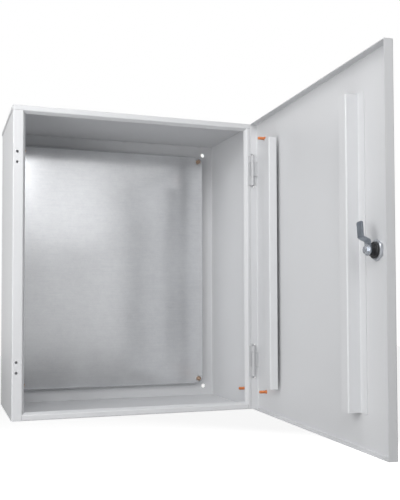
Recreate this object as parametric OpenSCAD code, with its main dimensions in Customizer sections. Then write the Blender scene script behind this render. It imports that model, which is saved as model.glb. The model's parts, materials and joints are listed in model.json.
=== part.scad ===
// Steel wall enclosure: folded sheet body, hinged pan door with a quarter-turn cam lock,
// galvanised mounting plate on four weld studs.
// X runs to the right, Y into the wall (back face at Y = 0), Z up.
// The origin is the centre of the four wall holes, on the back face.

/* [Body] */
// Width of the body over its side walls
body_w = 500; // [400:10:800]
// Height of the body
body_h = 600; // [500:10:1000]
// Depth over the body and the closed door, without the lock head
overall_d = 250; // [180:5:400]
// Thickness of the body and door sheet
sheet_t = 1.2; // [1:0.1:1.5]
// Centre-line radius of a sheet bend
bend_r = 1.8; // [1.4:0.1:2.4]
// Height of the top panel's lips, which lap over the side walls
lap_h = 8; // [5:1:12]

/* [Front frame] */
// Width of the flange on the lock side
lock_flange = 19; // [19:0.5:24]
// Width of the flange on the hinge side
hinge_flange = 14; // [14:0.5:24]
// Height of the flanges at the top and bottom
end_flange = 10; // [8:0.5:16]
// Depth of the slanted return behind the flanges
return_d = 7.5; // [5:0.5:8]
// How far the slanted return leans into the opening
return_in = 4.5; // [3:0.5:6]

/* [Door] */
// Depth of the door pan
door_d = 15.5; // [14:0.5:18]
// Gap between the door's rim and the frame
door_gap = 2; // [1.5:0.5:3]
// How much the door stops short of the body on each edge
door_reveal = 1.5; // [1:0.5:2]
// Angle at which the door stands open
door_open = 87; // [0:1:120]

/* [Hinges] */
// Distance of each hinge's middle from the top or bottom of the body
hinge_end = 100; // [80:5:130]
// Length of a hinge
hinge_len = 63; // [60:1:70]
// Length of the door's knuckle
knuckle_len = 30; // [24:1:34]
// How far the door's knuckle sits above the hinge's middle
knuckle_up = 3; // [0:0.5:5]
// Radius of the hinge pin
pin_r = 2; // [1.5:0.1:2.2]
// Outer radius of the hinge knuckles
knuckle_r = 3.6; // [3.2:0.1:4]
// Distance of the pin from the door's hinge edge
pin_inset = 3; // [3:0.5:4]
// Distance of the pin in front of the frame
pin_front = 6; // [6:0.5:7]
// Pitch of the two hinge holes in the frame
hinge_pitch = 20; // [16:1:24]
// Distance of the hinge holes from the side of the body
hinge_hole_in = 8.5; // [8:0.5:9]
// Radius of the hinge holes
hinge_hole_r = 2.65; // [2.6:0.05:2.8]

/* [Wall fixing] */
// Distance between the wall holes across the body
wall_dx = 450; // [340:5:750]
// Distance between the wall holes up the body
wall_dz = 556; // [450:2:960]
// Radius of the wall holes
wall_hole_r = 4.5; // [3.5:0.5:5]

/* [Mounting plate] */
// Free width on each side of the plate
plate_side_gap = 32.5; // [30:0.5:40]
// Free height above and below the plate
plate_end_gap = 30; // [28:0.5:40]
// Thickness of the plate
plate_t = 2; // [1.5:0.5:3]
// Length of the spacers that hold the plate off the back
spacer_len = 14.8; // [10:0.2:30]
// Distance of the plate's fixing holes from its sides
plate_hole_in = 11.5; // [11:0.5:20]
// Distance of the plate's fixing holes from its top and bottom
plate_hole_end = 12.5; // [12:0.5:20]

/* [Stiffeners] */
// Length of the door stiffeners
stiff_len = 490; // [300:10:520]
// Height of the stiffeners above the door sheet
stiff_h = 23; // [16:1:26]
// Width of the stiffeners' raised face
stiff_w = 21.5; // [14:0.5:24]
// Width of the welded foot
stiff_foot = 17; // [8:1:20]
// Distance of the hinge-side stiffener's web from the hinge edge
stiff_hinge_u = 93.5; // [80:0.5:140]
// Distance of the lock-side stiffener's web from the free edge
stiff_lock_u = 93; // [90:1:140]

/* [Lock] */
// Distance of the lock's axis from the door's free edge
lock_backset = 44; // [44:0.5:60]
// Radius of the threaded lock barrel
barrel_r = 11; // [10:0.5:12]
// Width across the flats of the lock nut
lock_nut_af = 28; // [27:1:32]
// Length of the cam from the lock's axis to its tip
cam_len = 42.5; // [38:0.5:42.5]
// Width of the cam
cam_w = 14; // [12:1:16]
// Thickness of the cam
cam_t = 2.5; // [2:0.5:3]
// Tilt of the cam past upright when unlocked
cam_tilt = 7; // [0:1:10]

/* [Studs] */
// Radius of the earth and plate studs
stud_r = 3; // [2.5:0.5:4]
// Length of the earth studs
stud_len = 15; // [12:1:20]
// Distance of the door studs from the door's hinge edge
door_stud_u = 44; // [36:1:60]
// Distance of the door studs from the body's top and bottom
door_stud_end = 41; // [30:1:50]

/* [Hidden] */

$fn = 48;
eps = 0.01;

// Body
half_w = body_w / 2;
half_h = body_h / 2;
body_d = overall_d - door_d - door_gap;      // back face to the front of the flanges
frame_y = -body_d;                           // plane of the flanges' front
back_in = -sheet_t;                          // inner face of the back
open_l = half_w - lock_flange;               // edges of the flanges
open_r = half_w - hinge_flange;
open_z = half_h - end_flange;
cap_z = half_h - sheet_t;                    // underside of the top panel
far = 2 * body_h;                            // longer than anything it cuts

// Hinge axis and door, in the closed pose
edge_x = half_w - door_reveal;
axis_x = edge_x - pin_inset;
axis_y = frame_y - pin_front;
face_y = -overall_d;                         // door's outer face
skin_y = face_y + sheet_t;                   // door's inner face
rim_y = face_y + door_d;
door_half_h = half_h - door_reveal;
hinge_z = half_h - hinge_end;
leaf_t = 1.5;
notch_y = axis_y - knuckle_r - 0.9;          // the door's rim is cut back to here at a hinge
notch_len = hinge_len + 8;

// Mounting plate
plate_w = body_w - 2 * plate_side_gap;
plate_h = body_h - 2 * plate_end_gap;
plate_back = back_in - spacer_len;
plate_front = plate_back - plate_t;
plate_corner_r = 10;
plate_lip = 9;                               // depth of its folded top and bottom edges
plate_lip_inset = 16;
plate_hole_x = plate_w / 2 - plate_hole_in;
plate_hole_z = plate_h / 2 - plate_hole_end;
plate_hole_r = 3.3;
nut_af = 10;
nut_h = 5;
washer_t = 1.2;
washer_r = 6;

// Lock, as distances behind the door's outer face
lock_x = -edge_x + lock_backset;
nut_back = sheet_t + 5;
barrel_end = 8;
collar_back = nut_back + 3;
collar_r = 12.4;
neck_r = 8.5;
neck_end = 15.8;
insert_r = 6;
insert_gap = 0.05;
head_r = 15;
head_t = 4;
seal_t = 1;
cam_back = neck_end + cam_t;
cam_reach = door_d + door_gap + return_d + 1.5;   // near face of the cam's outer part
crank_start = 14;
crank_end = 19;
square_w = 8;

// Cam screw
cam_washer_r = 9;
cam_screw_af = 10;
cam_screw_h = 4;
cam_screw_r = 2.5;
cam_screw_len = 9;

// Weld studs
stud_base_r = 4;
stud_base_t = 1;
side_stud_y = frame_y + 42.5;
side_stud_z = -half_h + 38;
stud_nut_reach = 10.5;                       // plate stud beyond the plate's front

// Tack welds
tack_pitch = 62;
tack_len = 12;
tack_r = 2.2;

// ---- Sheet profiles ----

function unit(v) = v / norm(v);
function left_of(v) = [-v[1], v[0]];
function turn_at(p, i) =
    let (a = unit(p[i] - p[i - 1]), b = unit(p[i + 1] - p[i]))
    atan2(a[0] * b[1] - a[1] * b[0], a * b);

// Points along one side of a folded strip: path p, centre-line bend radius r, offset s to the left
function strip_side(p, r, s, steps = 4) = [
    for (i = [0 : len(p) - 1])
        if (i == 0) p[0] + left_of(unit(p[1] - p[0])) * s
        else if (i == len(p) - 1) p[i] + left_of(unit(p[i] - p[i - 1])) * s
        else
            let (a = unit(p[i] - p[i - 1]), w = turn_at(p, i), sgn = sign(w))
            let (start = p[i] - a * r * tan(abs(w) / 2))
            let (c = start + left_of(a) * r * sgn, q = -left_of(a) * (r * sgn - s))
            for (k = [0 : steps])
                let (t = w * k / steps)
                c + [q[0] * cos(t) - q[1] * sin(t), q[0] * sin(t) + q[1] * cos(t)]
];

function reversed(v) = [for (i = [len(v) - 1 : -1 : 0]) v[i]];

// Cross-section of a sheet folded along the path p
module folded(p, t = sheet_t, r = bend_r) {
    polygon(concat(strip_side(p, r, t / 2), reversed(strip_side(p, r, -t / 2))));
}

// Extrudes an outline drawn in the plan (X, Y) up from z0 to z1
module extrude_z(z0, z1) {
    translate([0, 0, z0]) linear_extrude(z1 - z0) children();
}

// Extrudes an outline drawn in (Y, Z) from x0 to x1
module extrude_x(x0, x1) {
    translate([x0, 0, 0]) rotate([90, 0, 90]) linear_extrude(x1 - x0) children();
}

// Extrudes an outline drawn in (X, Z) from y0 to y1
module extrude_y(y0, y1) {
    translate([0, y1, 0]) rotate([90, 0, 0]) linear_extrude(y1 - y0) children();
}

// A cylinder along +Y from y0 to y1
module rod_y(r, y0, y1) {
    translate([0, y0, 0]) rotate([-90, 0, 0]) cylinder(r = r, h = y1 - y0);
}

// A hexagonal prism along +Y, with two points up, width af across its flats
module hex_y(af, y0, y1) {
    translate([0, y0, 0]) rotate([-90, 0, 0]) rotate(30)
        cylinder(r = af / sqrt(3), h = y1 - y0, $fn = 6);
}

module box(lo, hi) {
    translate(lo) cube(hi - lo);
}

// Outline in the plan with its two front corners rounded
module rounded_front(half, front, depth, r) {
    translate([-half, front + r]) square([2 * half, depth - r]);
    translate([-half + r, front]) square([2 * (half - r), depth]);
    for (s = [-1, 1]) translate([s * (half - r), front + r]) circle(r);
}

// ---- Body ----

// Half of the opening's outline: what lies above it belongs to the top panel
module above_opening(reach) {
    d = return_in + 5;
    polygon([
        [-reach, open_z], [-open_l, open_z], [-open_l + d, open_z - d],
        [open_r - d, open_z - d], [open_r, open_z], [reach, open_z],
        [reach, half_h + 10], [-reach, half_h + 10]
    ]);
}

// Places its children at the four wall holes
module at_wall_holes() {
    for (sx = [-1, 1], sz = [-1, 1])
        translate([sx * wall_dx / 2, 0, sz * wall_dz / 2]) children();
}

// Places its children at the hinge holes of one side
module at_hinge_holes(side) {
    for (sz = [-1, 1], k = [-1, 1])
        translate([side * (half_w - hinge_hole_in), 0, sz * hinge_z + k * hinge_pitch / 2])
            children();
}

// Both side walls, the back, and the side flanges with their returns, folded from one sheet
module body_wrap() {
    x = half_w - sheet_t / 2;
    y = frame_y + sheet_t / 2;
    path = [
        [-open_l + return_in, y + return_d], [-open_l, y], [-x, y], [-x, -sheet_t / 2],
        [x, -sheet_t / 2], [x, y], [open_r, y], [open_r - return_in, y + return_d]
    ];
    color("gainsboro") difference() {
        extrude_z(-half_h, cap_z) folded(path);
        extrude_y(frame_y - 1, frame_y + sheet_t) above_opening(half_w + 1);
        extrude_y(frame_y - 1, frame_y + return_d + 2) above_opening(half_w - sheet_t);
        extrude_y(frame_y - 1, frame_y + return_d + 2)
            mirror([0, 1]) intersection() {
                above_opening(half_w);
                translate([-open_l, 0]) square([open_l + open_r, half_h + 5]);
            }
        at_wall_holes() rod_y(wall_hole_r, -5, 1);
        for (side = [-1, 1])
            at_hinge_holes(side) rod_y(hinge_hole_r, frame_y - 1, frame_y + sheet_t + 1);
    }
}

// Return, flange and panel of the top or bottom in (Y, Z), the panel running back to y_end
function end_path(y_end) =
    let (y = frame_y + sheet_t / 2)
    [[y + return_d, open_z - return_in], [y, open_z], [y, half_h - sheet_t / 2],
     [y_end, half_h - sheet_t / 2]];

module top_panel() {
    x = half_w + sheet_t / 2;
    z = half_h - sheet_t / 2;
    color("gainsboro") union() {
        intersection() {
            extrude_x(-half_w, half_w) folded(end_path(0));
            extrude_y(-far, far) above_opening(half_w + 1);
            extrude_z(0, far) rounded_front(half_w, frame_y, body_d, bend_r + sheet_t / 2);
        }
        extrude_y(frame_y + 3, 0)
            folded([[-x, half_h - lap_h], [-x, z], [x, z], [x, half_h - lap_h]],
                   r = sheet_t / 2 + eps);
    }
}

module bottom_panel() {
    x = half_w - sheet_t;
    color("gainsboro") mirror([0, 0, 1]) union() {
        intersection() {
            extrude_x(-open_l, open_r) folded(end_path(back_in));
            extrude_y(-far, far) above_opening(half_w);
        }
        box([-x, frame_y + 3, cap_z], [x, back_in, half_h]);
        box([-x + 3, frame_y + sheet_t, cap_z], [x - 3, frame_y + 4, half_h]);
    }
}

// Short weld beads in the corner between the back and the top and bottom panels
module tack_welds() {
    n = floor((body_w / 2 - 20) / tack_pitch);
    color("silver") for (sz = [-1, 1], i = [-n : n + 1])
        translate([(i - 0.5) * tack_pitch - tack_len / 2, back_in, sz * cap_z])
            rotate([90, 0, 90]) intersection() {
                cylinder(r = tack_r, h = tack_len, $fn = 24);
                translate([-5, sz > 0 ? -5 : 0, 0]) cube([5, 5, tack_len]);
            }
}

// ---- Mounting plate ----

module at_plate_holes() {
    for (sx = [-1, 1], sz = [-1, 1])
        translate([sx * plate_hole_x, 0, sz * plate_hole_z]) children();
}

module rounded_rect(w, h, r) {
    square([w - 2 * r, h], center = true);
    square([w, h - 2 * r], center = true);
    for (sx = [-1, 1], sy = [-1, 1])
        translate([sx * (w / 2 - r), sy * (h / 2 - r)]) circle(r);
}

// Flat plate with rounded corners, its top and bottom edges folded towards the wall
module mounting_plate() {
    y = plate_front + plate_t / 2;
    z = plate_h / 2 - plate_t / 2;
    lip_x = plate_w / 2 - plate_lip_inset;
    fold_r = 2.5;
    color("lightgray") difference() {
        union() {
            extrude_y(plate_front, plate_back)
                rounded_rect(plate_w, plate_h - 2 * (fold_r + plate_t / 2), plate_corner_r);
            extrude_x(-lip_x, lip_x)
                folded([[y + plate_lip, -z], [y, -z], [y, z], [y + plate_lip, z]],
                       t = plate_t, r = fold_r);
        }
        at_plate_holes() rod_y(plate_hole_r, plate_front - 1, plate_back + 1);
    }
}

// Copper-plated studs welded to the back
module plate_studs() {
    color("peru") at_plate_holes() {
        rod_y(stud_r, plate_front - stud_nut_reach, back_in);
        rod_y(stud_base_r, back_in - stud_base_t, back_in);
    }
}

module plate_spacers() {
    color("silver") at_plate_holes() difference() {
        rod_y(washer_r, plate_back, back_in);
        rod_y(stud_base_r + 0.2, plate_back - 1, back_in + 1);
    }
}

module plate_washers() {
    color("silver") at_plate_holes() difference() {
        rod_y(washer_r, plate_front - washer_t, plate_front);
        rod_y(stud_r + 0.2, plate_front - washer_t - 1, plate_front + 1);
    }
}

module plate_nuts() {
    y = plate_front - washer_t;
    color("peru") at_plate_holes() difference() {
        intersection() {
            hex_y(nut_af, y - nut_h, y);
            nut_chamfer(nut_af, y - nut_h, y);
        }
        rod_y(stud_r, y - nut_h - 1, y + 1);
    }
}

// The turned outline that takes the corners off a nut's two faces
module nut_chamfer(af, y0, y1) {
    r = af / sqrt(3) + 0.1;
    c = r - af / 2;
    translate([0, y0, 0]) rotate([-90, 0, 0]) rotate_extrude()
        polygon([[0, 0], [r - c, 0], [r, c * 0.6], [r, y1 - y0 - c * 0.6], [r - c, y1 - y0],
                 [0, y1 - y0]]);
}

// ---- Earth studs ----

// A weld stud along +Z with a base flange and a bevelled tip
module weld_stud() {
    bevel = 0.8;
    rotate_extrude() polygon([
        [0, 0], [stud_base_r, 0], [stud_base_r, stud_base_t], [stud_r, stud_base_t + 0.4],
        [stud_r, stud_len - bevel], [stud_r - bevel, stud_len], [0, stud_len]
    ]);
}

module side_earth_stud() {
    color("peru") translate([half_w - sheet_t, side_stud_y, side_stud_z])
        rotate([0, -90, 0]) weld_stud();
}

module door_earth_studs() {
    color("peru") in_door() for (sz = [-1, 1])
        translate([edge_x - door_stud_u, skin_y, sz * (half_h - door_stud_end)])
            rotate([-90, 0, 0]) weld_stud();
}

// ---- Hinges ----

// Swings its children, drawn in the closed pose, about the hinge axis
module in_door() {
    translate([axis_x, axis_y, 0]) rotate(door_open) translate([-axis_x, -axis_y, 0])
        children();
}

// Body half: a leaf on the frame with two ears round the pin and two studs through the frame
module hinge_leaf() {
    gap = 0.3;
    leaf_x = half_w - hinge_flange + 2;
    low = [-hinge_len / 2, knuckle_up - knuckle_len / 2 - gap];
    high = [knuckle_up + knuckle_len / 2 + gap, hinge_len / 2];
    difference() {
        union() {
            box([leaf_x, frame_y - leaf_t, -hinge_len / 2], [axis_x, frame_y, hinge_len / 2]);
            for (z = [low, high]) {
                translate([axis_x, axis_y, z[0]]) cylinder(r = knuckle_r, h = z[1] - z[0]);
                box([axis_x - knuckle_r, axis_y, z[0]], [axis_x, frame_y - eps, z[1]]);
            }
        }
        translate([axis_x, axis_y, -hinge_len]) cylinder(r = pin_r, h = 2 * hinge_len);
    }
    for (k = [-1, 1])
        translate([half_w - hinge_hole_in, 0, k * hinge_pitch / 2])
            rod_y(hinge_hole_r - 0.15, frame_y - eps, frame_y + 8.5);
}

module hinge_pin() {
    head = 1.6;
    translate([axis_x, axis_y, 0]) {
        translate([0, 0, -hinge_len / 2 - 2]) cylinder(r = pin_r, h = hinge_len + 2 + eps);
        translate([0, 0, hinge_len / 2]) cylinder(r = pin_r + 0.9, h = head);
    }
}

// Door half: a knuckle on a web that is welded to the door's rim and skin
module door_leaf() {
    z0 = knuckle_up - knuckle_len / 2;
    z1 = z0 + knuckle_len;
    web = 3.3;
    x = edge_x - sheet_t;
    bevel = 0.8;
    difference() {
        union() {
            translate([axis_x, axis_y, z0]) cylinder(r = knuckle_r, h = knuckle_len);
            extrude_z(z0, z1) polygon([
                [x - web, axis_y], [x - web, skin_y], [x - bevel, skin_y],
                [x, skin_y + bevel], [x, axis_y]
            ]);
        }
        translate([axis_x, axis_y, -hinge_len]) cylinder(r = pin_r + 0.05, h = 2 * hinge_len);
    }
}

module upper_hinge_leaf() { color("gainsboro") translate([0, 0, hinge_z]) hinge_leaf(); }
module lower_hinge_leaf() { color("gainsboro") translate([0, 0, -hinge_z]) hinge_leaf(); }
module upper_hinge_pin() { color("dimgray") translate([0, 0, hinge_z]) hinge_pin(); }
module lower_hinge_pin() { color("dimgray") translate([0, 0, -hinge_z]) hinge_pin(); }
module upper_door_leaf() { color("gainsboro") in_door() translate([0, 0, hinge_z]) door_leaf(); }
module lower_door_leaf() { color("gainsboro") in_door() translate([0, 0, -hinge_z]) door_leaf(); }

module hinge_washers() {
    y = frame_y + sheet_t;
    color("silver") at_hinge_holes(1) difference() {
        rod_y(4, y, y + 1);
        rod_y(hinge_hole_r, y - 1, y + 2);
    }
}

module hinge_nuts() {
    y = frame_y + sheet_t + 1;
    color("silver") at_hinge_holes(1) difference() {
        intersection() {
            hex_y(8, y, y + 4);
            nut_chamfer(8, y, y + 4);
        }
        rod_y(hinge_hole_r - 0.15, y - 1, y + 5);
    }
}

// ---- Door ----

// The pan's outer form, inset by d and deeper than the pan
module pan_block(d) {
    r = bend_r + sheet_t / 2 - d;
    intersection() {
        extrude_z(-far, far) rounded_front(edge_x - d, face_y + d, door_d + 5, r);
        rotate([0, -90, 0]) extrude_z(-far, far)
            rounded_front(door_half_h - d, face_y + d, door_d + 5, r);
    }
}

// Shallow pan: a skin with a rim on all four edges, notched at the hinges
module door_panel() {
    color("gainsboro") in_door() difference() {
        pan_block(0);
        pan_block(sheet_t);
        box([-far, rim_y, -far], [far, rim_y + 20, far]);
        for (s = [-1, 1])
            box([edge_x - sheet_t - 1, notch_y, s * hinge_z - notch_len / 2],
                [edge_x + 1, rim_y + 1, s * hinge_z + notch_len / 2]);
        translate([lock_x, 0, 0]) rod_y(barrel_r + 0.25, face_y - 1, skin_y + 1);
    }
}

// Foot, web, raised face and lip in (distance from the web, height above the skin)
module stiffener() {
    t = sheet_t / 2;
    lip = 16;
    extrude_z(-stiff_len / 2, stiff_len / 2) folded([
        [-stiff_foot, skin_y + t], [0, skin_y + t], [0, skin_y + stiff_h - t],
        [stiff_w, skin_y + stiff_h - t], [stiff_w, skin_y + stiff_h - lip]
    ]);
}

module hinge_side_stiffener() {
    color("gainsboro") in_door() translate([edge_x - stiff_hinge_u, 0, 0])
        mirror([1, 0, 0]) stiffener();
}

module lock_side_stiffener() {
    color("gainsboro") in_door() translate([-edge_x + stiff_lock_u, 0, 0]) stiffener();
}

// ---- Lock ----

// Places its children on the lock's axis, with Y = 0 at the door's outer face
module at_lock() {
    in_door() translate([lock_x, face_y, 0]) children();
}

module lock_seal() {
    color("black") at_lock() difference() {
        rod_y(head_r - 0.5, -seal_t, 0);
        rod_y(barrel_r, -seal_t - 1, 1);
    }
}

// Round head outside the door and the barrel through it
module lock_housing() {
    color("dimgray") at_lock() difference() {
        translate([0, -seal_t - head_t, 0]) rotate([-90, 0, 0]) rotate_extrude()
            polygon([
                [0, 0], [head_r - 2, 0], [head_r, 1.5], [head_r, head_t],
                [barrel_r, head_t], [barrel_r, head_t + seal_t + barrel_end - 0.6],
                [barrel_r - 0.6, head_t + seal_t + barrel_end],
                [0, head_t + seal_t + barrel_end]
            ]);
        rod_y(insert_r + insert_gap, -seal_t - head_t - 1, barrel_end + 1);
    }
}

module lock_nut() {
    color("silver") at_lock() difference() {
        intersection() {
            hex_y(lock_nut_af, sheet_t, nut_back);
            nut_chamfer(lock_nut_af, sheet_t, nut_back);
        }
        rod_y(barrel_r, 0, nut_back + 1);
    }
}

// Black stop collar over the end of the barrel, with a narrow neck behind the cam
module lock_collar() {
    color("black") at_lock() difference() {
        translate([0, nut_back, 0]) rotate([-90, 0, 0]) rotate_extrude()
            polygon([
                [0, 0], [collar_r, 0], [collar_r, collar_back - nut_back - 0.8],
                [collar_r - 0.8, collar_back - nut_back], [neck_r + 0.6, collar_back - nut_back],
                [neck_r, collar_back - nut_back + 0.6], [neck_r, neck_end - nut_back - 0.3],
                [0, neck_end - nut_back - 0.3]
            ]);
        rod_y(barrel_r, 0, barrel_end);
        rod_y(insert_r + insert_gap, 0, neck_end + 1);
    }
}

// Turning insert: a double-bit keyway in front, a square seat for the cam behind
module lock_insert() {
    front = -seal_t - head_t + 0.8;
    s = square_w / 2;
    color("silver") at_lock() rotate([0, cam_tilt, 0]) {
        difference() {
            rod_y(insert_r, front, neck_end);
            difference() {
                union() {
                    rod_y(3.5, front - 1, front + 7);
                    box([-4.8, front - 1, -1], [4.8, front + 7, 1]);
                }
                rod_y(1.5, front - 2, front + 8);
            }
            rod_y(cam_screw_r, cam_back - cam_screw_len, cam_back + 1);
        }
        difference() {
            box([-s, neck_end - eps, -s], [s, cam_back, s]);
            rod_y(cam_screw_r, cam_back - cam_screw_len, cam_back + 1);
        }
    }
}

// Cranked cam: a round end on the square, a step towards the frame, a straight tip
module lock_cam() {
    t = cam_t / 2;
    near = neck_end + t;
    reach = cam_reach + t;
    nose = 3;
    s = square_w / 2;
    color("silver") at_lock() rotate([0, cam_tilt, 0]) difference() {
        intersection() {
            extrude_x(-cam_w, cam_w) folded([
                [near, -cam_w], [near, crank_start], [reach, crank_end], [reach, cam_len]
            ], t = cam_t, r = 2.5);
            extrude_y(0, far) union() {
                circle(cam_w / 2 + 0.8);
                translate([-cam_w / 2, 0]) square([cam_w, cam_len - nose]);
                translate([-cam_w / 2 + nose, 0]) square([cam_w - 2 * nose, cam_len]);
                for (side = [-1, 1])
                    translate([side * (cam_w / 2 - nose), cam_len - nose]) circle(nose);
            }
        }
        box([-s, neck_end - 1, -s], [s, cam_back + 1, s]);
    }
}

module cam_washer() {
    color("silver") at_lock() difference() {
        rod_y(cam_washer_r, cam_back, cam_back + washer_t);
        rod_y(cam_screw_r + 0.2, cam_back - 1, cam_back + washer_t + 1);
    }
}

module cam_screw() {
    y = cam_back + washer_t;
    color("silver") at_lock() rotate([0, cam_tilt, 0]) {
        intersection() {
            hex_y(cam_screw_af, y, y + cam_screw_h);
            nut_chamfer(cam_screw_af, y, y + cam_screw_h);
        }
        rod_y(cam_screw_r, cam_back - cam_screw_len, y + eps);
    }
}

body_wrap();
top_panel();
bottom_panel();
tack_welds();
mounting_plate();
plate_studs();
plate_spacers();
plate_washers();
plate_nuts();
side_earth_stud();
upper_hinge_leaf();
lower_hinge_leaf();
upper_hinge_pin();
lower_hinge_pin();
hinge_washers();
hinge_nuts();
upper_door_leaf();
lower_door_leaf();
door_panel();
hinge_side_stiffener();
lock_side_stiffener();
door_earth_studs();
lock_seal();
lock_housing();
lock_nut();
lock_collar();
lock_insert();
lock_cam();
cam_washer();
cam_screw();
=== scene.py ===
import json
import math

import bmesh
import bpy
from mathutils import Matrix, Vector

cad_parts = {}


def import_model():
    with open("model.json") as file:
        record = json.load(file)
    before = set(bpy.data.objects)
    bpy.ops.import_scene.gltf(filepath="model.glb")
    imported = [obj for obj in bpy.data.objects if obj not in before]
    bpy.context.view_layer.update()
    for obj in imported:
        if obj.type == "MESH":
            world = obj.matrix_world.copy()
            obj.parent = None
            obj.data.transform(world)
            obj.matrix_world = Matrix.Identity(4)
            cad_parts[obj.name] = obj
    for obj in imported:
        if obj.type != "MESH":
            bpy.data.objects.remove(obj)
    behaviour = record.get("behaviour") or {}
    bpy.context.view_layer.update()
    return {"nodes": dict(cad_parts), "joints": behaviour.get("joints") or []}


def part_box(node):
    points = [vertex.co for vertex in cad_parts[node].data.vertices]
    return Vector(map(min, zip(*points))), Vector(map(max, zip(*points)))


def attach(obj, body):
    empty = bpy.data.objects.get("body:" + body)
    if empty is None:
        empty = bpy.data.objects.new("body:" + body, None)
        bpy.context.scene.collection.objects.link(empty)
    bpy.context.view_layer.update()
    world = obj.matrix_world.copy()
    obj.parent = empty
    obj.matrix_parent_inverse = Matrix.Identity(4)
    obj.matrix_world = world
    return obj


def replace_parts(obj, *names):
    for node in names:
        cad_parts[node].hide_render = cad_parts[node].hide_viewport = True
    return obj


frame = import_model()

NODES = frame["nodes"]
JOINTS = {j["name"]: j for j in frame["joints"]}


# ---------------------------------------------------------------- helpers

def srgb(r, g, b):
    """An 8-bit display colour as the linear colour that a shader takes."""
    def lin(c):
        c /= 255.0
        return c / 12.92 if c <= 0.04045 else ((c + 0.055) / 1.055) ** 2.4
    return (lin(r), lin(g), lin(b), 1.0)


class Shader:
    """Builds one node material round a Principled shader."""

    def __init__(self, name):
        self.mat = bpy.data.materials.new(name)
        self.mat.use_nodes = True
        self.tree = self.mat.node_tree
        self.tree.nodes.clear()
        self.out = self.add("ShaderNodeOutputMaterial")
        self.bsdf = self.add("ShaderNodeBsdfPrincipled")
        self.link(self.bsdf.outputs["BSDF"], self.out.inputs["Surface"])
        self.coord = self.add("ShaderNodeTexCoord").outputs["Object"]

    def add(self, kind, **values):
        node = self.tree.nodes.new(kind)
        for key, value in values.items():
            setattr(node, key, value)
        return node

    def link(self, a, b):
        self.tree.links.new(a, b)

    def set(self, **values):
        for key, value in values.items():
            self.bsdf.inputs[key.replace("_", " ")].default_value = value

    def stretched(self, scale):
        node = self.add("ShaderNodeMapping")
        node.inputs["Scale"].default_value = scale
        self.link(self.coord, node.inputs["Vector"])
        return node.outputs["Vector"]

    def noise(self, scale, detail=3.0, roughness=0.5, vector=None):
        node = self.add("ShaderNodeTexNoise")
        node.inputs["Scale"].default_value = scale
        node.inputs["Detail"].default_value = detail
        node.inputs["Roughness"].default_value = roughness
        self.link(vector or self.coord, node.inputs["Vector"])
        return node.outputs["Fac"]

    def ramp(self, fac, *stops):
        node = self.add("ShaderNodeValToRGB")
        elements = node.color_ramp.elements
        while len(elements) < len(stops):
            elements.new(0.5)
        for element, (place, colour) in zip(elements, stops):
            element.position = place
            element.color = colour
        self.link(fac, node.inputs["Fac"])
        return node.outputs["Color"]

    def span(self, fac, low, high):
        node = self.add("ShaderNodeMapRange")
        node.inputs["From Min"].default_value = 0.3
        node.inputs["From Max"].default_value = 0.7
        node.inputs["To Min"].default_value = low
        node.inputs["To Max"].default_value = high
        self.link(fac, node.inputs["Value"])
        return node.outputs["Result"]

    def soften(self, amount, base, layer):
        """A layer laid over a base colour by soft light."""
        node = self.add("ShaderNodeMix", data_type="RGBA", blend_type="SOFT_LIGHT")
        node.inputs["Factor"].default_value = amount
        self.link(base, node.inputs[6])
        self.link(layer, node.inputs[7])
        return node.outputs[2]

    def relief(self, height, strength, distance, edge):
        """Bump from a height, over edges rounded by the given radius."""
        bump = self.add("ShaderNodeBump")
        bump.inputs["Strength"].default_value = strength
        bump.inputs["Distance"].default_value = distance
        self.link(height, bump.inputs["Height"])
        bevel = self.add("ShaderNodeBevel", samples=4)
        bevel.inputs["Radius"].default_value = edge
        self.link(bevel.outputs["Normal"], bump.inputs["Normal"])
        self.link(bump.outputs["Normal"], self.bsdf.inputs["Normal"])

    def colour(self, socket):
        self.link(socket, self.bsdf.inputs["Base Color"])

    def rough(self, socket):
        self.link(socket, self.bsdf.inputs["Roughness"])


# ---------------------------------------------------------------- materials

def powder_coat(name, dark, light):
    """Light grey semi-gloss powder coat with a fine orange peel."""
    s = Shader(name)
    broad = s.noise(5.0, 2.0)
    fine = s.noise(900.0, 2.0)
    s.colour(s.ramp(broad, (0.3, dark), (0.7, light)))
    s.rough(s.span(fine, 0.34, 0.44))
    s.relief(fine, 0.12, 0.0002, edge=0.0006)
    s.set(Specular_IOR_Level=0.5)
    return s.mat


def galvanised():
    """Zinc-coated sheet: soft spangle, faint streaks across, fine hairlines and a satin gloss."""
    s = Shader("galvanised_sheet")
    spangle = s.noise(60.0, 5.0, 0.7)
    cloudy = s.noise(9.0, 5.0, 0.6)
    grain = s.noise(520.0, 3.0, 0.6)
    rolled = s.noise(22.0, 6.0, 0.65, s.stretched((1.0, 1.0, 14.0)))
    hairs = s.noise(30.0, 4.0, 0.6, s.stretched((1.0, 1.0, 40.0)))
    base = s.ramp(cloudy, (0.25, srgb(202, 203, 205)), (0.75, srgb(213, 214, 216)))
    for amount, fac, (low, dark), (high, light) in (
            (0.26, spangle, (0.3, srgb(120, 121, 123)), (0.7, srgb(196, 197, 199))),
            (0.10, rolled, (0.35, srgb(118, 119, 121)), (0.65, srgb(190, 191, 193))),
            (0.10, hairs, (0.52, srgb(188, 189, 191)), (0.60, srgb(90, 91, 93))),
            (0.12, grain, (0.3, srgb(100, 101, 103)), (0.7, srgb(220, 221, 223)))):
        base = s.soften(amount, base, s.ramp(fac, (low, dark), (high, light)))
    s.colour(base)
    s.rough(s.span(cloudy, 0.13, 0.19))
    s.relief(grain, 0.10, 0.0002, edge=0.0004)
    s.set(Metallic=0.46)
    return s.mat


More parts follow.
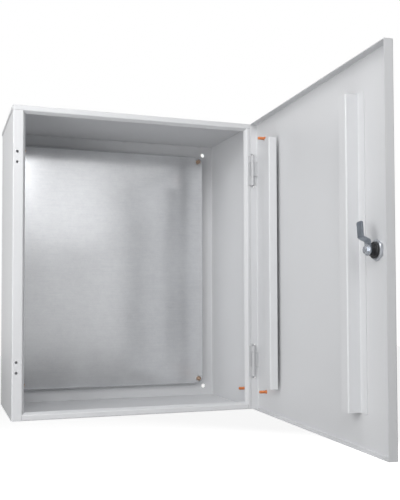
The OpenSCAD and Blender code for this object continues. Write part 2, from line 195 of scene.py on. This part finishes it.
def zinc_plate(name, low, high, rough_low, rough_high):
    s = Shader(name)
    cloudy = s.noise(60.0, 3.0)
    grain = s.noise(1500.0, 2.0)
    s.colour(s.ramp(cloudy, (0.3, low), (0.7, high)))
    s.rough(s.span(cloudy, rough_low, rough_high))
    s.relief(grain, 0.10, 0.0001, edge=0.0003)
    s.set(Metallic=0.9)
    return s.mat


def copper_plate():
    s = Shader("copper_plate")
    cloudy = s.noise(220.0, 3.0)
    s.colour(s.ramp(cloudy, (0.3, srgb(196, 112, 62)), (0.7, srgb(233, 152, 98))))
    s.rough(s.span(cloudy, 0.30, 0.46))
    s.relief(s.noise(1200.0, 2.0), 0.15, 0.0001, edge=0.0002)
    s.set(Metallic=0.6)
    return s.mat


def nut_plate():
    s = Shader("plated_nut")
    cloudy = s.noise(240.0, 3.0)
    s.colour(s.ramp(cloudy, (0.3, srgb(142, 120, 104)), (0.7, srgb(196, 170, 148))))
    s.rough(s.span(cloudy, 0.26, 0.40))
    s.relief(s.noise(1200.0, 2.0), 0.15, 0.0001, edge=0.0002)
    s.set(Metallic=0.85)
    return s.mat


def painted_seam_shade():
    """Painted shade: a dark grey line standing in for the shadow in a joint's groove."""
    s = Shader("painted_seam_shade")
    # Painted shade: dark grey tones for the shadow inside the joint's groove.
    s.colour(s.ramp(s.noise(300.0, 3.0), (0.3, srgb(128, 129, 131)), (0.7, srgb(166, 167, 169))))
    s.rough(s.span(s.noise(500.0), 0.5, 0.7))
    return s.mat


def black_part(name, rough_low, rough_high, metallic):
    s = Shader(name)
    cloudy = s.noise(90.0, 3.0)
    s.colour(s.ramp(cloudy, (0.3, srgb(24, 25, 27)), (0.7, srgb(34, 35, 38))))
    s.rough(s.span(cloudy, rough_low, rough_high))
    s.relief(s.noise(1400.0, 2.0), 0.15, 0.0001, edge=0.0003)
    s.set(Metallic=metallic)
    return s.mat


PAINT = powder_coat("powder_coat", srgb(208, 209, 211), srgb(212, 213, 215))
HINGE_PAINT = powder_coat("hinge_coat", srgb(184, 185, 187), srgb(192, 193, 195))
GALVANISED = galvanised()
ZINC = zinc_plate("zinc_plated", srgb(176, 180, 186), srgb(206, 209, 213), 0.28, 0.40)
CAM_STEEL = zinc_plate("bright_zinc", srgb(196, 200, 206), srgb(222, 225, 229), 0.20, 0.32)
CAM_PLATE = zinc_plate("cam_plate", srgb(136, 143, 152), srgb(160, 167, 175), 0.24, 0.36)
PIN_STEEL = zinc_plate("pin_steel", srgb(120, 122, 126), srgb(150, 152, 156), 0.30, 0.42)
COPPER = copper_plate()
NUT_PLATE = nut_plate()
# SEAM is painted shade: the dark line laid over each frame joint for the shadow in its groove.
SEAM = painted_seam_shade()
BLACK_METAL = black_part("black_casting", 0.28, 0.40, 0.2)
BLACK_PLASTIC = black_part("black_polymer", 0.38, 0.52, 0.0)
RUBBER = black_part("seal_rubber", 0.65, 0.80, 0.0)

LOOKS = {
    "body_wrap": PAINT, "top_panel": PAINT, "bottom_panel": PAINT, "tack_welds": PAINT,
    "mounting_plate": GALVANISED, "plate_studs": NUT_PLATE, "plate_spacers": ZINC,
    "plate_washers": ZINC, "plate_nuts": NUT_PLATE, "side_earth_stud": COPPER,
    "upper_hinge_leaf": HINGE_PAINT, "lower_hinge_leaf": HINGE_PAINT,
    "upper_hinge_pin": PIN_STEEL, "lower_hinge_pin": PIN_STEEL,
    "hinge_washers": ZINC, "hinge_nuts": ZINC,
    "upper_door_leaf": HINGE_PAINT, "lower_door_leaf": HINGE_PAINT,
    "door_panel": PAINT, "hinge_side_stiffener": PAINT, "lock_side_stiffener": PAINT,
    "door_earth_studs": COPPER, "lock_seal": RUBBER, "lock_housing": BLACK_METAL,
    "lock_nut": ZINC, "lock_collar": BLACK_PLASTIC, "lock_insert": ZINC,
    "lock_cam": CAM_PLATE, "cam_washer": CAM_STEEL, "cam_screw": CAM_STEEL,
}
for name, node in NODES.items():
    node.data.materials.clear()
    node.data.materials.append(LOOKS[name])


# ---------------------------------------------------------------- detail pieces

def along(start, direction):
    """A matrix whose +Z runs along direction from start."""
    turn = Vector(direction).to_track_quat("Z", "Y").to_matrix().to_4x4()
    return Matrix.Translation(Vector(start)) @ turn


def threaded(bm, place, length):
    """A closed M6 rod along +Z of place, with a plain weld flange at its foot and a bevelled tip."""
    depth = THREAD_DEPTH * THREAD_PITCH
    foot = FLANGE_H + 0.0004
    rings = [(FLANGE_R, 0.0, False), (FLANGE_R, FLANGE_H, False),
             (STUD_R - depth, FLANGE_H + 0.0003, False)]
    count = int(round((length - foot) / (THREAD_PITCH / THREAD_STEPS)))
    rings += [(STUD_R, foot + (length - foot) * i / count, True) for i in range(count + 1)]
    grid = []
    for radius, z, cut in rings:
        row = []
        for k in range(THREAD_SIDES):
            turn = k / THREAD_SIDES
            rad = radius
            if cut:
                wave = (z / THREAD_PITCH - turn) % 1.0
                flank = min(1.0, max(0.0, (abs(wave - 0.5) - 0.06) / 0.36))
                fade = min(1.0, (z - foot) / THREAD_PITCH)
                rad = radius - depth * (1.0 - flank) * fade
                rad = min(rad, radius - max(0.0, z - (length - STUD_TIP)))
            a = 2 * math.pi * turn
            point = Vector((rad * math.cos(a), rad * math.sin(a), z))
            row.append(bm.verts.new(place @ point))
        grid.append(row)
    skin(bm, grid)


def skin(bm, grid):
    """Side faces between the rings of a grid, and a cap on each end."""
    count = len(grid[0])
    for lower, upper in zip(grid, grid[1:]):
        for k in range(count):
            n = (k + 1) % count
            bm.faces.new((lower[k], lower[n], upper[n], upper[k]))
    bm.faces.new(list(reversed(grid[0])))
    bm.faces.new(grid[-1])


def make(name, bm, material, body):
    """The finished piece: its mesh, its material and the body that it rides on."""
    bmesh.ops.recalc_face_normals(bm, faces=bm.faces)
    mesh = bpy.data.meshes.new(name)
    bm.to_mesh(mesh)
    bm.free()
    mesh.materials.append(material)
    for face in mesh.polygons:
        face.use_smooth = True
    obj = bpy.data.objects.new(name, mesh)
    bpy.context.scene.collection.objects.link(obj)
    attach(obj, body)
    return obj


def swept(bm, start, end, side, up, section, steps, size):
    """A closed bead from start to end.

    section is in (side, up), and size(t) scales it along the way.
    """
    start, end, side, up = Vector(start), Vector(end), Vector(side), Vector(up)
    rows = []
    for i in range(steps + 1):
        t = i / steps
        centre = start.lerp(end, t)
        rows.append([bm.verts.new(centre + (side * a + up * b) * size(t)) for a, b in section])
    skin(bm, rows)


def rippled(waves, depth, tip):
    """Scale of a weld bead along its length: rounded ends and overlapping ripples."""
    def size(t):
        ends = math.sqrt(max(0.0, 1.0 - (2 * t - 1) ** 2))
        return (tip + (1 - tip) * ends) * (1 + depth * math.sin(2 * math.pi * waves * t))
    return size


def steady(t):
    """Scale of a bead that is the same all along."""
    return 1.0


def quarter(r, n=5):
    """Section of a corner bead: a quarter round and its corner."""
    turns = [math.pi / 2 * k / n for k in range(n + 1)]
    return [(0, 0)] + [(r * math.cos(a), r * math.sin(a)) for a in turns]


def half(r, h, n):
    """Section of a bead on a face: half an ellipse."""
    turns = [math.pi * k / n for k in range(n + 1)]
    return [(r * math.cos(a), h * math.sin(a)) for a in turns]


# Sizes in metres
SHEET = 0.0012
STUD_R, STUD_LENGTH, STUD_TIP = 0.003, 0.015, 0.0008
FLANGE_R, FLANGE_H = 0.004, 0.001
THREAD_PITCH = 0.001
THREAD_DEPTH, THREAD_STEPS, THREAD_SIDES = 0.54, 6, 32
DOOR_WIDTH = 0.497
DOOR_EARTH_IN = 0.044
TACK_COUNT, TACK_LENGTH, TACK_LEG = 8, 0.012, 0.0022
CORNER_LEG = 0.0014
SEAM_HALF, SEAM_LIFT, SEAM_STEPS = 0.00028, 0.00006, 4

# The door's turn from closed to where it stands open, and its faces when closed
SWING = JOINTS["door_swing"]
HINGE = Vector(SWING["pos_m"])
OPEN = (Matrix.Translation(HINGE)
        @ Matrix.Rotation(-math.radians(SWING["range_deg"][0]), 4, "Z")
        @ Matrix.Translation(-HINGE))
SKIN_Y = HINGE.y - 0.0115 + SHEET
EDGE_X = HINGE.x + 0.003
DOOR_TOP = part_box("door_panel")[1][2]

LOW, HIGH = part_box("body_wrap")[0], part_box("top_panel")[1]
FRONT = LOW[1]


def stud_threads():
    """M6 studs with a rolled thread and a weld flange."""
    bm = bmesh.new()
    low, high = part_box("side_earth_stud")
    y, z = (low[1] + high[1]) / 2, (low[2] + high[2]) / 2
    threaded(bm, along((high[0], y, z), (-1, 0, 0)), high[0] - low[0])
    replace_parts(make("side_earth_thread", bm, COPPER, "cabinet"), "side_earth_stud")

    bm = bmesh.new()
    low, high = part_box("door_earth_studs")
    for z in (high[2] - FLANGE_R, low[2] + FLANGE_R):
        foot = along((EDGE_X - DOOR_EARTH_IN, SKIN_Y, z), (0, 1, 0))
        threaded(bm, OPEN @ foot, STUD_LENGTH)
    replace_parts(make("door_earth_threads", bm, COPPER, "door"), "door_earth_studs")

    bm = bmesh.new()
    low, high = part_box("plate_studs")
    for x in (low[0] + FLANGE_R, high[0] - FLANGE_R):
        for z in (low[2] + FLANGE_R, high[2] - FLANGE_R):
            threaded(bm, along((x, high[1], z), (0, -1, 0)), high[1] - low[1])
    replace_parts(make("plate_stud_threads", bm, NUT_PLATE, "cabinet"), "plate_studs")


def tack_beads():
    """Short rippled beads between the back and the top and bottom panels."""
    bm = bmesh.new()
    low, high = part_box("tack_welds")
    pitch = (high[0] - low[0] - TACK_LENGTH) / (TACK_COUNT - 1)
    for k in range(TACK_COUNT):
        x = low[0] + k * pitch
        for z, up in ((high[2], -1), (low[2], 1)):
            swept(bm, (x, high[1], z), (x + TACK_LENGTH, high[1], z),
                  (0, -1, 0), (0, 0, up), quarter(TACK_LEG), 26,
                  rippled(4.5 + 0.5 * (k % 2), 0.12, 0.35))
    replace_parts(make("tack_beads", bm, PAINT, "cabinet"), "tack_welds")


def frame_seams():
    """The joints of the frame's flanges: a thin dark strip of painted shade across each, for the
    shadow in the joint's groove.
    """
    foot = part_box("bottom_panel")[0][2]
    bm = bmesh.new()
    top = HIGH[2] - 0.010
    left, right = LOW[0] + 0.0191, LOW[0] + 0.4859
    section = half(SEAM_HALF, SEAM_LIFT, SEAM_STEPS)
    out = (0, -1, 0)
    for x0, x1 in ((LOW[0] + 0.0022, left - 0.0006), (right + 0.0006, -LOW[0] - 0.0022)):
        swept(bm, (x0, FRONT, top), (x1, FRONT, top), (0, 0, 1), out, section, 4, steady)
    for x in (left, right):
        swept(bm, (x, FRONT, foot + 0.0022), (x, FRONT, foot + 0.0092),
              (1, 0, 0), out, section, 4, steady)
    make("frame_seams", bm, SEAM, "cabinet")


def door_corner_welds():
    """Beads inside the four corners of the door pan."""
    bm = bmesh.new()
    z = DOOR_TOP - SHEET
    far = EDGE_X - DOOR_WIDTH + SHEET
    for x, sx in ((EDGE_X - SHEET, -1), (far, 1)):
        side = OPEN.to_3x3() @ Vector((sx, 0, 0))
        for sz in (1, -1):
            a = OPEN @ Vector((x, SKIN_Y + 0.0002, sz * z))
            b = OPEN @ Vector((x, SKIN_Y + 0.0138, sz * z))
            swept(bm, a, b, side, (0, 0, -sz), quarter(CORNER_LEG), 40, rippled(6, 0.10, 0.6))
    make("door_corner_welds", bm, PAINT, "door")


stud_threads()
tack_beads()
frame_seams()
door_corner_welds()


# ---------------------------------------------------------------- stage, lights and camera

FLOOR_REACH, FLOOR_Z = 9.0, -0.9
MIDDLE = (0.0, -0.3, 0.0)


def world():
    """A faint even light on the object, and white where a camera, glossy or clear ray looks."""
    w = bpy.data.worlds.new("studio")
    bpy.context.scene.world = w
    w.use_nodes = True
    tree = w.node_tree
    tree.nodes.clear()
    out = tree.nodes.new("ShaderNodeOutputWorld")
    mix = tree.nodes.new("ShaderNodeMixShader")
    lit = tree.nodes.new("ShaderNodeBackground")
    seen = tree.nodes.new("ShaderNodeBackground")
    path = tree.nodes.new("ShaderNodeLightPath")
    lit.inputs["Color"].default_value = (1, 1, 1, 1)
    lit.inputs["Strength"].default_value = 0.12
    seen.inputs["Color"].default_value = (1, 1, 1, 1)
    seen.inputs["Strength"].default_value = 1.0
    total = path.outputs["Is Camera Ray"]
    for name in ("Is Glossy Ray", "Is Transmission Ray"):
        add = tree.nodes.new("ShaderNodeMath")
        add.operation = "ADD"
        add.use_clamp = True
        tree.links.new(total, add.inputs[0])
        tree.links.new(path.outputs[name], add.inputs[1])
        total = add.outputs[0]
    tree.links.new(total, mix.inputs["Fac"])
    tree.links.new(lit.outputs[0], mix.inputs[1])
    tree.links.new(seen.outputs[0], mix.inputs[2])
    tree.links.new(mix.outputs[0], out.inputs["Surface"])


def floor():
    """The pale floor below the box as it hangs on its wall."""
    s = Shader("studio_floor")
    tone = s.noise(1.3, 2.0)
    s.colour(s.ramp(tone, (0.3, srgb(238, 238, 238)), (0.7, srgb(242, 242, 242))))
    s.set(Roughness=0.9, Specular_IOR_Level=0.1)
    path = s.add("ShaderNodeLightPath")
    glow = s.add("ShaderNodeEmission")
    mixed = s.add("ShaderNodeAddShader")
    scale = s.add("ShaderNodeMath", operation="MULTIPLY")
    scale.inputs[1].default_value = 0.78
    s.link(path.outputs["Is Camera Ray"], scale.inputs[0])
    s.link(scale.outputs[0], glow.inputs["Strength"])
    s.link(s.bsdf.outputs["BSDF"], mixed.inputs[0])
    s.link(glow.outputs["Emission"], mixed.inputs[1])
    s.link(mixed.outputs[0], s.out.inputs["Surface"])
    mesh = bpy.data.meshes.new("floor")
    r, z = FLOOR_REACH, FLOOR_Z
    mesh.from_pydata([(-r, -r, z), (r, -r, z), (r, r, z), (-r, r, z)], [], [(0, 1, 2, 3)])
    mesh.materials.append(s.mat)
    obj = bpy.data.objects.new("floor", mesh)
    bpy.context.scene.collection.objects.link(obj)


def lamp(name, place, target, size, power):
    """A rectangular soft light at place, facing target, that the camera does not see."""
    data = bpy.data.lights.new(name, "AREA")
    data.shape = "RECTANGLE"
    data.size, data.size_y = size
    data.energy = power
    obj = bpy.data.objects.new(name, data)
    obj.location = place
    obj.rotation_euler = (Vector(target) - Vector(place)).to_track_quat("-Z", "Y").to_euler()
    obj.visible_camera = False
    bpy.context.scene.collection.objects.link(obj)


def camera():
    """The photograph's viewpoint and framing."""
    yaw, pitch, roll = math.radians(17.81), math.radians(1.93), math.radians(-0.05)
    level = math.cos(pitch)
    forward = Vector((math.sin(yaw) * level, math.cos(yaw) * level, math.sin(pitch)))
    data = bpy.data.cameras.new("camera")
    data.sensor_width = 36.0
    data.lens = 49.555
    data.shift_x, data.shift_y = 0.0791, 0.0549
    obj = bpy.data.objects.new("camera", data)
    obj.location = (-0.38032, -1.55120, -0.07375)
    aim = forward.to_track_quat("-Z", "Y").to_matrix()
    obj.rotation_euler = (aim @ Matrix.Rotation(roll, 3, "Z")).to_euler()
    bpy.context.scene.collection.objects.link(obj)
    bpy.context.scene.camera = obj


world()
floor()
camera()
lamp("front_high", (-0.4, -1.8, 0.9), MIDDLE, (1.0, 1.0), 13.0)
lamp("front_left", (-1.7, -1.8, -0.2), MIDDLE, (1.2, 1.2), 9.5)
lamp("left_front", (-1.4, -1.3, 0.2), MIDDLE, (1.0, 1.4), 3.6)
lamp("left", (-0.9, -0.7, 0.3), MIDDLE, (0.6, 0.8), 4.2)
lamp("top", (-0.2, -0.55, 0.9), MIDDLE, (0.7, 0.5), 2.0)
lamp("panel", (0.18, -2.4, 0.50), (-0.1, 0.0, 0.15), (0.7, 0.5), 1.1)
lamp("back_right", (1.8, 1.6, 0.8), (0.1, -0.2, 0.0), (1.6, 1.6), 36)

scene = bpy.context.scene
scene.view_settings.view_transform = "Standard"
